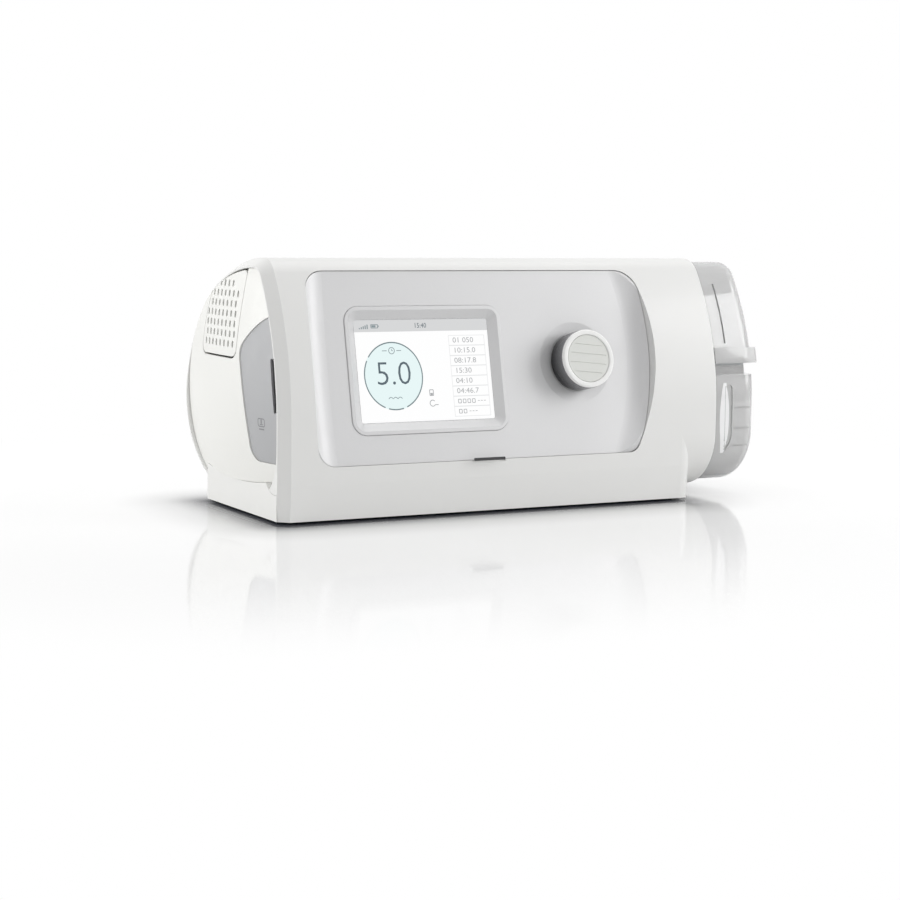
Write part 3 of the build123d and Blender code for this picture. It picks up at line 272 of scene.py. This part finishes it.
def mouldedPlastic(name):
    # sparked mould grain, slow tone changes and a faintly uneven gloss
    look = finishes[name]
    tree, shader, coords = startMaterial(name)
    slow = noiseOn(tree, coords, 22, 3)
    tree.links.new(tone(tree, slow.outputs["Fac"], look["colour"], 0.012), shader.inputs["Base Color"])
    handling = noiseOn(tree, coords, 140, 4)
    rough = look["roughness"]
    tree.links.new(spread(tree, handling.outputs["Fac"], rough * 0.9, rough * 1.1), shader.inputs["Roughness"])
    if look["depth"]:
        grain = noiseOn(tree, coords, look["grain"], 2)
        bumpOn(tree, shader, grain.outputs["Fac"], look["depth"])
    if look["coat"]:
        shader.inputs["Coat Weight"].default_value = look["coat"]
        shader.inputs["Coat Roughness"].default_value = 0.12


for finish in finishes:
    mouldedPlastic(finish)

lacquer = {
    "panelSilver": {"colour": (0.65, 0.65, 0.655), "metal": 0.22, "roughness": 0.46, "flake": 5200, "coat": 0.06},
    "bezelSilver": {"colour": (0.64, 0.64, 0.645), "metal": 0.25, "roughness": 0.40, "flake": 5200, "coat": 0.08},
}


def silverLacquer(name):
    # fine metal flakes under a thin clear coat
    look = lacquer[name]
    tree, shader, coords = startMaterial(name)
    flakes = tree.nodes.new("ShaderNodeTexVoronoi")
    flakes.inputs["Scale"].default_value = look["flake"]
    tree.links.new(coords.outputs["Object"], flakes.inputs["Vector"])
    tree.links.new(tone(tree, flakes.outputs["Distance"], look["colour"], 0.035), shader.inputs["Base Color"])
    cloud = noiseOn(tree, coords, 60, 3)
    rough = look["roughness"]
    tree.links.new(spread(tree, cloud.outputs["Fac"], rough * 0.92, rough * 1.08), shader.inputs["Roughness"])
    shader.inputs["Metallic"].default_value = look["metal"]
    shader.inputs["Coat Weight"].default_value = look["coat"]
    shader.inputs["Coat Roughness"].default_value = 0.1
    bumpOn(tree, shader, flakes.outputs["Distance"], 0.004)


for finish in lacquer:
    silverLacquer(finish)

tilt = math.radians(12.5)
panelOut = Vector((0, -math.cos(tilt), math.sin(tilt)))
panelUp = Vector((0, math.sin(tilt), math.cos(tilt)))
panelTurn = Matrix((Vector((1, 0, 0)), panelUp, panelOut)).transposed().to_4x4()
# low and high are the ends of the knob's painted shade, at the foot and towards the ring
knobSet = {
    "low": (0.008, 0.008, 0.010), "high": (0.21, 0.21, 0.22), "roughness": 0.24, "metal": 0.35,
    "foot": -3.5, "top": 6.0,
}


def knobLacquerPaintedShade():
    # painted shade over the knob's dark colour: nearly black at the foot, paler towards the ring
    tree, shader, coords = startMaterial("knobDark")
    low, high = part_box("knob_body")
    middle = (Vector(low) + Vector(high)) / 2
    along = tree.nodes.new("ShaderNodeVectorMath")
    along.operation = "DOT_PRODUCT"
    along.inputs[1].default_value = panelOut
    tree.links.new(coords.outputs["Object"], along.inputs[0])
    centre = middle.dot(panelOut)
    paintedShadeClimb = mapRange(tree, along.outputs["Value"], (centre + knobSet["foot"] * mm, centre + knobSet["top"] * mm))
    tree.links.new(mixColours(tree, paintedShadeClimb, knobSet["low"], knobSet["high"]), shader.inputs["Base Color"])
    grain = noiseOn(tree, coords, 2400, 2)
    rough = knobSet["roughness"]
    tree.links.new(spread(tree, grain.outputs["Fac"], rough * 0.85, rough * 1.15), shader.inputs["Roughness"])
    shader.inputs["Metallic"].default_value = knobSet["metal"]
    bumpOn(tree, shader, grain.outputs["Fac"], 0.004)


knobLacquerPaintedShade()

# edge is the colour of the painted shade, shown where a part is seen edge on
clearSet = {
    "tankClear": {"colour": (0.87, 0.87, 0.868), "edge": (0.60, 0.602, 0.61), "roughness": 0.08, "ior": 1.38,
                  "through": 0.5, "coat": 0.8},
    "latchClear": {"colour": (0.94, 0.94, 0.94), "edge": (0.70, 0.70, 0.71), "roughness": 0.12, "ior": 1.38,
                   "through": 0.25, "coat": 0.8},
    # the tank window sheet: near white as a painted highlight
    "windowPaintedHighlight": {"colour": (0.97, 0.975, 0.98), "edge": (0.80, 0.81, 0.82), "roughness": 0.05, "ior": 1.38,
                    "through": 0.1, "coat": 1.0},
    "lensClear": {"colour": (0.98, 0.99, 0.99), "edge": (0.9, 0.92, 0.93), "roughness": 0.02, "ior": 1.45,
                  "through": 1.0, "coat": 0.0},
}


def clearPlastic(name):
    # clear or slightly milky plastic, with painted shade: darker where it is seen edge on
    look = clearSet[name]
    tree, shader, coords = startMaterial(name)
    flow = noiseOn(tree, coords, 45, 3)
    turned = tree.nodes.new("ShaderNodeLayerWeight")
    turned.inputs["Blend"].default_value = 0.28
    paintedEdgeShade = tree.nodes.new("ShaderNodeMix")
    paintedEdgeShade.data_type = "RGBA"
    paintedEdgeShade.inputs["B"].default_value = look["edge"] + (1,)
    tree.links.new(tone(tree, flow.outputs["Fac"], look["colour"], 0.01), paintedEdgeShade.inputs["A"])
    tree.links.new(turned.outputs["Facing"], paintedEdgeShade.inputs["Factor"])
    tree.links.new(paintedEdgeShade.outputs["Result"], shader.inputs["Base Color"])
    haze = noiseOn(tree, coords, 260, 3)
    rough = look["roughness"]
    tree.links.new(spread(tree, haze.outputs["Fac"], rough * 0.7, rough * 1.3), shader.inputs["Roughness"])
    shader.inputs["Transmission Weight"].default_value = look["through"]
    shader.inputs["IOR"].default_value = look["ior"]
    shader.inputs["Coat Weight"].default_value = look["coat"]
    shader.inputs["Coat Roughness"].default_value = 0.04
    bumpOn(tree, shader, flow.outputs["Fac"], 0.05)


for finish in clearSet:
    clearPlastic(finish)

metalSet = {
    "steel": {"colour": (0.56, 0.56, 0.57), "roughness": 0.3, "stretch": (1, 60, 1)},
    "screwSteel": {"colour": (0.33, 0.33, 0.34), "roughness": 0.38, "stretch": (1, 1, 12)},
    "copper": {"colour": (0.62, 0.30, 0.16), "roughness": 0.34, "stretch": (1, 1, 80)},
}


def brushedMetal(name):
    look = metalSet[name]
    tree, shader, coords = startMaterial(name)
    mapping = tree.nodes.new("ShaderNodeMapping")
    mapping.inputs["Scale"].default_value = look["stretch"]
    tree.links.new(coords.outputs["Object"], mapping.inputs["Vector"])
    lines = tree.nodes.new("ShaderNodeTexNoise")
    lines.inputs["Scale"].default_value = 300
    tree.links.new(mapping.outputs["Vector"], lines.inputs["Vector"])
    tree.links.new(tone(tree, lines.outputs["Fac"], look["colour"], 0.08), shader.inputs["Base Color"])
    rough = look["roughness"]
    tree.links.new(spread(tree, lines.outputs["Fac"], rough * 0.8, rough * 1.25), shader.inputs["Roughness"])
    shader.inputs["Metallic"].default_value = 1.0
    bumpOn(tree, shader, lines.outputs["Fac"], 0.006)


for finish in metalSet:
    brushedMetal(finish)


def boardGreen():
    # solder mask with tracks showing through
    tree, shader, coords = startMaterial("boardGreen")
    tracks = tree.nodes.new("ShaderNodeTexBrick")
    tracks.inputs["Scale"].default_value = 160
    tracks.inputs["Mortar Size"].default_value = 0.03
    tracks.inputs["Color1"].default_value = (0.012, 0.10, 0.045, 1)
    tracks.inputs["Color2"].default_value = (0.014, 0.115, 0.05, 1)
    tracks.inputs["Mortar"].default_value = (0.03, 0.19, 0.085, 1)
    tree.links.new(coords.outputs["Object"], tracks.inputs["Vector"])
    tree.links.new(tracks.outputs["Color"], shader.inputs["Base Color"])
    shader.inputs["Roughness"].default_value = 0.3
    bumpOn(tree, shader, tracks.outputs["Fac"], 0.03)


def filterFoam():
    # open cells
    tree, shader, coords = startMaterial("filterFoam")
    cells = tree.nodes.new("ShaderNodeTexVoronoi")
    cells.inputs["Scale"].default_value = 1100
    tree.links.new(coords.outputs["Object"], cells.inputs["Vector"])
    tree.links.new(tone(tree, cells.outputs["Distance"], (0.16, 0.165, 0.175), 0.5), shader.inputs["Base Color"])
    shader.inputs["Roughness"].default_value = 0.95
    bumpOn(tree, shader, cells.outputs["Distance"], 0.7)


boardGreen()
filterFoam()

wears = {
    "front_shell": "casingWhite", "rear_shell": "casingWhite", "base_tray": "trayWhite", "rubber_feet": "footRubber",
    "case_screws": "screwSteel", "left_end_cap": "endWhite", "filter_cover": "endWhite", "side_panel": "sideGrey",
    "sd_card": "innerBlack", "sd_socket": "steel", "filter_frame": "innerWhite", "filter_foam": "filterFoam",
    "front_panel": "panelSilver", "screen_bezel": "bezelSilver", "screen_lens": "lensClear",
    "lcd_module": "display", "display_board": "boardGreen", "encoder_body": "innerBlack",
    "encoder_plunger": "steel", "encoder_shaft": "steel", "knob_body": "knobDark", "knob_ring": "knobWhite",
    "knob_cap": "knobGrey", "main_board": "boardGreen", "blower_housing": "innerBlack",
    "blower_cover": "innerBlack", "impeller": "innerWhite", "motor_rotor": "steel", "motor_stator": "copper",
    "blower_mounts": "footRubber", "blower_cradle": "innerWhite", "inlet_duct": "innerWhite",
    "supply_duct": "innerWhite", "bay_liner": "innerWhite", "port_seals": "seal", "heater_plate": "steel",
    "tank_tub": "tankClear", "tank_lid": "tankClear", "tank_seal": "seal", "tank_base_plate": "steel",
    "latch_pin": "steel", "tank_latch": "latchClear", "air_outlet": "innerWhite", "dc_inlet": "innerBlack",
}
for name, finish in wears.items():
    mesh = nodes[name].data
    mesh.materials.clear()
    mesh.materials.append(made[finish])
print("finishes on", len(wears), "parts")

# screen picture
screenSet = {
    "width": 73.44, "height": 50.37, "trim": 0.12, "corner": 1.2, "headerHeight": 5.8,
    "dial": (-17.4, -2.5), "dialRadii": (15.9, 16.75), "dialLine": 0.62,
    "dialArcs": ((-68, 213), (152, 96), (255, 30)),
    "tableLeft": 14.3, "tableRight": 34.45, "tableTop": 16.9, "tableStep": 5.04,
    "inkLayer": (0.06, 0.01), "ringLayer": (0.045, 0.01), "padLayer": (0.03, 0.01), "glow": 0.97,
}
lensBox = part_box("screen_lens")
lensThickness = 1.0
lensMiddle = (Vector(lensBox[0]) + Vector(lensBox[1])) / 2
screenFace = Matrix.Translation(lensMiddle + panelOut * lensThickness / 2 * mm) @ panelTurn

inks = {
    "screenWhite": (1.0, 1.0, 1.0),
    "screenHeader": (0.67, 0.675, 0.68),
    "screenDial": (0.80, 0.925, 0.925),
    "screenRing": (0.17, 0.23, 0.245),
    "screenInk": (0.085, 0.12, 0.145),
    "screenMark": (0.24, 0.29, 0.31),
    "screenFaint": (0.40, 0.41, 0.42),
    "screenRule": (0.76, 0.77, 0.775),
}


def screenMaterial(name):
    # lit picture elements under a glossy front
    tree, shader, coords = startMaterial(name)
    dots = noiseOn(tree, coords, 7000, 0)
    shader.inputs["Base Color"].default_value = (0.012, 0.013, 0.014, 1)
    tree.links.new(spread(tree, dots.outputs["Fac"], 0.25, 0.35), shader.inputs["Roughness"])
    shader.inputs["Specular IOR Level"].default_value = 0.2
    tree.links.new(tone(tree, dots.outputs["Fac"], inks[name], 0.015), shader.inputs["Emission Color"])
    shader.inputs["Emission Strength"].default_value = screenSet["glow"]


for ink in inks:
    screenMaterial(ink)


def finishPiece(bm, name, material, place, body):
    # puts a flat drawing in its place and hangs it on its body
    mesh = bpy.data.meshes.new(name)
    bmesh.ops.transform(bm, matrix=place, verts=bm.verts)
    bmesh.ops.recalc_face_normals(bm, faces=bm.faces)
    bm.to_mesh(mesh)
    bm.free()
    mesh.materials.append(made[material])
    piece = bpy.data.objects.new(name, mesh)
    scene.collection.objects.link(piece)
    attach(piece, body)


def thicken(bm, faces, depth):
    # gives a flat drawing a little body, upwards
    got = bmesh.ops.extrude_face_region(bm, geom=faces)
    lifted = [v for v in got["geom"] if isinstance(v, bmesh.types.BMVert)]
    bmesh.ops.translate(bm, verts=lifted, vec=(0, 0, depth * mm))


def tileFaces(bm, x, y, width, height, low, corner, segments):
    # a flat tile with round corners, in millimetres
    spot = Matrix.Translation((x * mm, y * mm, low * mm)) @ Matrix.Diagonal((width * mm, height * mm, 1, 1))
    got = bmesh.ops.create_grid(bm, x_segments=1, y_segments=1, size=0.5, matrix=spot)
    if corner:
        got = bmesh.ops.bevel(bm, geom=got["verts"], offset=corner * mm, segments=segments, profile=0.5,
                              affect="VERTICES", material=-1)
    return list({f for v in got["verts"] for f in v.link_faces})


def addTile(bm, x, y, width, height, low, depth, corner=0.0):
    thicken(bm, tileFaces(bm, x, y, width, height, low, corner, 5), depth)


def addFrame(bm, x, y, width, height, line, low, depth, corner=0.0):
    # the outline of a tile
    faces = tileFaces(bm, x, y, width, height, low, corner, 4)
    inset = bmesh.ops.inset_region(bm, faces=faces, thickness=line * mm, use_boundary=True, use_even_offset=True)
    bmesh.ops.delete(bm, geom=faces, context="FACES_ONLY")
    thicken(bm, inset["faces"], depth)


def addArc(bm, x, y, radius, line, start, sweep, low, depth, steps=72):
    # a part of a ring, spun from a short edge
    turn = Matrix.Rotation(math.radians(start), 4, "Z")
    ends = [bm.verts.new(turn @ Vector((r * mm, 0, 0)) + Vector((x, y, low)) * mm)
            for r in (radius - line / 2, radius + line / 2)]
    edge = bm.edges.new(ends)
    before = set(bm.faces)
    bmesh.ops.spin(bm, geom=[edge, *ends], cent=(x * mm, y * mm, low * mm), axis=(0, 0, 1),
                   angle=math.radians(sweep), steps=steps, use_merge=abs(sweep) >= 360)
    thicken(bm, [f for f in bm.faces if f not in before], depth)


def addFigures(bm, words, x, y, height, low, depth, thin=0.0, squeeze=1.0, align="LEFT"):
    # figures set in the built-in typeface
    curve = bpy.data.curves.new("figures", "FONT")
    curve.body = words
    curve.align_x = align
    curve.align_y = "CENTER"
    curve.resolution_u = 3
    curve.size = 1.0
    curve.offset = -thin
    holder = bpy.data.objects.new("figures", curve)
    scene.collection.objects.link(holder)
    bpy.context.view_layer.update()
    mesh = bpy.data.meshes.new_from_object(holder.evaluated_get(bpy.context.evaluated_depsgraph_get()))
    size = height / 0.70 * mm
    mesh.transform(Matrix.Translation((x * mm, y * mm, low * mm)) @ Matrix.Diagonal((size * squeeze, size, 1, 1)))
    before = set(bm.faces)
    bm.from_mesh(mesh)
    thicken(bm, [f for f in bm.faces if f not in before], depth)
    bpy.data.objects.remove(holder)
    bpy.data.curves.remove(curve)
    bpy.data.meshes.remove(mesh)


def makeScreen():
    s = screenSet
    layer, ringLayer, padLayer = s["inkLayer"], s["ringLayer"], s["padLayer"]
    wide, high = s["width"] - 2 * s["trim"], s["height"] - 2 * s["trim"]
    sheet = bmesh.new()
    addTile(sheet, 0, 0, wide, high, 0.004, 0.02, s["corner"])
    finishPiece(sheet, "screenSheet", "screenWhite", screenFace, "casing")

    header = bmesh.new()
    addTile(header, 0, high / 2 - s["headerHeight"] / 2 - 0.05, wide - 0.1, s["headerHeight"], *padLayer)
    finishPiece(header, "screenHeader", "screenHeader", screenFace, "casing")

    x, y = s["dial"]
    across, tall = s["dialRadii"]
    oval = screenFace @ Matrix.Translation((x * mm, y * mm, 0)) @ Matrix.Diagonal((across / tall, 1, 1, 1))
    disc = bmesh.new()
    bmesh.ops.create_circle(disc, cap_ends=True, segments=96, radius=tall * mm,
                            matrix=Matrix.Translation((0, 0, padLayer[0] * mm)))
    thicken(disc, list(disc.faces), padLayer[1])
    finishPiece(disc, "screenDial", "screenDial", oval, "casing")

    ring = bmesh.new()
    for start, sweep in s["dialArcs"]:
        addArc(ring, 0, 0, tall - s["dialLine"] / 2, s["dialLine"], start, sweep, *ringLayer)
    finishPiece(ring, "screenRing", "screenRing", oval, "casing")

    ink = bmesh.new()
    addFigures(ink, "5.0", x + 0.1, y + 0.7, 11.6, *layer, thin=0.012, squeeze=0.98, align="CENTER")
    addFigures(ink, "15:40", -0.7, high / 2 - 3.1, 2.4, *layer, squeeze=0.9, align="CENTER")
    finishPiece(ink, "screenFigures", "screenInk", screenFace, "casing")

    marks = bmesh.new()
    markY = high / 2 - 3.1
    for i in range(5):                                           # signal bars, where the header starts
        addTile(marks, -33.6 + i * 1.05, markY - 1.0 + i * 0.2, 0.6, 0.6 + i * 0.4, *layer)
    addFrame(marks, -25.6, markY, 4.0, 2.0, 0.36, *layer, 0.3)   # charge
    addTile(marks, -26.0, markY, 2.2, 1.0, *layer)
    addTile(marks, -23.4, markY, 0.4, 0.8, *layer)
    addArc(marks, x, y + 12.4, 1.55, 0.36, 0, 360, *layer, 40)   # clock
    addTile(marks, x, y + 12.85, 0.3, 0.9, *layer)
    addTile(marks, x + 0.4, y + 12.4, 0.8, 0.3, *layer)
    for side in (-1, 1):
        addTile(marks, x + side * 3.9, y + 12.4, 2.6, 0.36, *layer)
    for i in range(3):                                           # air waves
        addArc(marks, x - 2.5 + i * 2.5, y - 11.6, 1.2, 0.36, 20, 140, *layer, 16)
    finishPiece(marks, "screenMarks", "screenMark", screenFace, "casing")

    rows = ["01 050", "10:15.0", "08:17.8", "15:30", "04:10", "04:46.7"]
    table = bmesh.new()
    for i, words in enumerate(rows):
        rowY = s["tableTop"] - (i + 0.5) * s["tableStep"]
        addFigures(table, words, s["tableLeft"] + 2.2, rowY, 2.6, *layer, squeeze=1.14)
    for i, count in ((6, 4), (7, 2)):
        rowY = s["tableTop"] - (i + 0.5) * s["tableStep"]
        for k in range(count):
            addFrame(table, s["tableLeft"] + 3.4 + k * 2.6, rowY, 1.9, 2.2, 0.36, *layer, 0.4)
        for k in range(3):
            addTile(table, s["tableLeft"] + 3.6 + count * 2.6 + k * 1.7, rowY, 1.1, 0.3, *layer)
    addFrame(table, 2.4, -11.2, 2.4, 3.2, 0.4, *layer, 0.4)        # tank mark
    addTile(table, 2.4, -11.9, 1.3, 1.1, *layer)
    addArc(table, 2.6, -16.4, 1.5, 0.4, 40, 280, *layer, 28)      # hose mark
    addTile(table, 4.7, -17.2, 2.0, 0.4, *layer)
    finishPiece(table, "screenTable", "screenFaint", screenFace, "casing")

    rules = bmesh.new()
    middle = (s["tableLeft"] + s["tableRight"]) / 2
    for i in range(8):
        addFrame(rules, middle, s["tableTop"] - (i + 0.5) * s["tableStep"], s["tableRight"] - s["tableLeft"],
                 s["tableStep"] + 0.06, 0.24, *ringLayer)
    finishPiece(rules, "screenRules", "screenRule", screenFace, "casing")


makeScreen()
print("screen drawn")

# small mark by the card slot
markSet = {"y": 22.9, "z": 45.4, "radius": 299.4, "centre": (64.0, 64.0), "apex": 0.6, "line": 0.5, "thick": 0.015}


def makeCardMark():
    # a little card and arrow, printed on the curved side panel
    bm = bmesh.new()
    line, thick = markSet["line"], markSet["thick"]
    addFrame(bm, 0, 0, 6.4, 4.2, line, 0, thick, 1.2)
    addTile(bm, 0, 0.5, 1.1, 2.0, 0, thick)
    addTile(bm, 0, -0.9, 2.6, line, 0, thick)
    addTile(bm, 0, -3.2, 4.6, line * 1.3, 0, thick)
    bmesh.ops.subdivide_edges(bm, edges=bm.edges, cuts=2, use_grid_fill=True)
    apexX = Vector(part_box("left_end_cap")[0]).x + markSet["apex"] * mm
    centreY, centreZ = markSet["centre"]
    radius = markSet["radius"] * mm
    for v in bm.verts:
        y, z = markSet["y"] - v.co.x / mm, markSet["z"] + v.co.y / mm
        height = v.co.z + 0.01 * mm
        spot = casePoint(0, y, z)
        middle = casePoint(0, centreY, centreZ)
        away = radius ** 2 - (spot.y - middle.y) ** 2 - (spot.z - middle.z) ** 2
        v.co = (apexX + radius - math.sqrt(away) - height, spot.y, spot.z)
    finishPiece(bm, "cardMark", "markGrey", Matrix.Identity(4), "casing")


makeCardMark()

# painted shade in the finger slot and painted highlight on the tank window
slotSet = {"x": 109.6, "y": -4.09, "width": 17.6, "height": 1.5, "lift": 25.7, "out": 4.6, "corner": 0.5}
windowSet = {"x": 252.9, "width": 6.4, "z": (22.0, 59.0), "rows": 24, "columns": 8, "proud": 0.06}


def layOn(bm, carrier, away):
    # presses a flat drawing onto the front of a part and leaves it a hair proud
    back = carrier.matrix_world.inverted()
    for v in bm.verts:
        start = back @ Vector((v.co.x, v.co.y - 0.05, v.co.z))
        hit, spot, normal, index = carrier.ray_cast(start, back.to_3x3() @ Vector((0, 1, 0)))
        if hit:
            v.co = carrier.matrix_world @ (spot + normal * away * mm)


def makeFingerSlotPaintedShade():
    # painted shade: a dark sheet in the slot under the silver panel, where its inside lies in shade
    s = slotSet
    bm = bmesh.new()
    foot = casePoint(s["x"], s["y"], 0) + panelUp * s["lift"] * mm + panelOut * s["out"] * mm
    addTile(bm, 0, 0, s["width"], s["height"], 0, 0.02, s["corner"])
    finishPiece(bm, "fingerSlotShade", "innerBlack", Matrix.Translation(foot) @ panelTurn, "casing")


def makeTankWindowHighlight():
    # a near-white sheet laid on the convex window moulded in the front of the tank: painted highlight
    s = windowSet
    low, high = s["z"]
    bm = bmesh.new()
    rows = []
    side = s["columns"] // 2
    for i in range(s["rows"] + 1):
        t = i / s["rows"]
        half = s["width"] / 2 * math.sin(math.pi * (0.04 + 0.92 * t)) ** 0.6
        z = low + (high - low) * t
        rows.append([bm.verts.new(casePoint(s["x"] + half * k / side, 0, z)) for k in range(-side, side + 1)])
    for lower, upper in zip(rows, rows[1:]):
        for k in range(s["columns"]):
            bm.faces.new((lower[k], lower[k + 1], upper[k + 1], upper[k]))
    layOn(bm, nodes["tank_tub"], s["proud"])
    finishPiece(bm, "tankWindowHighlight", "windowPaintedHighlight", Matrix.Identity(4), "tank")


makeFingerSlotPaintedShade()
makeTankWindowHighlight()

scene.view_settings.view_transform = "Standard"
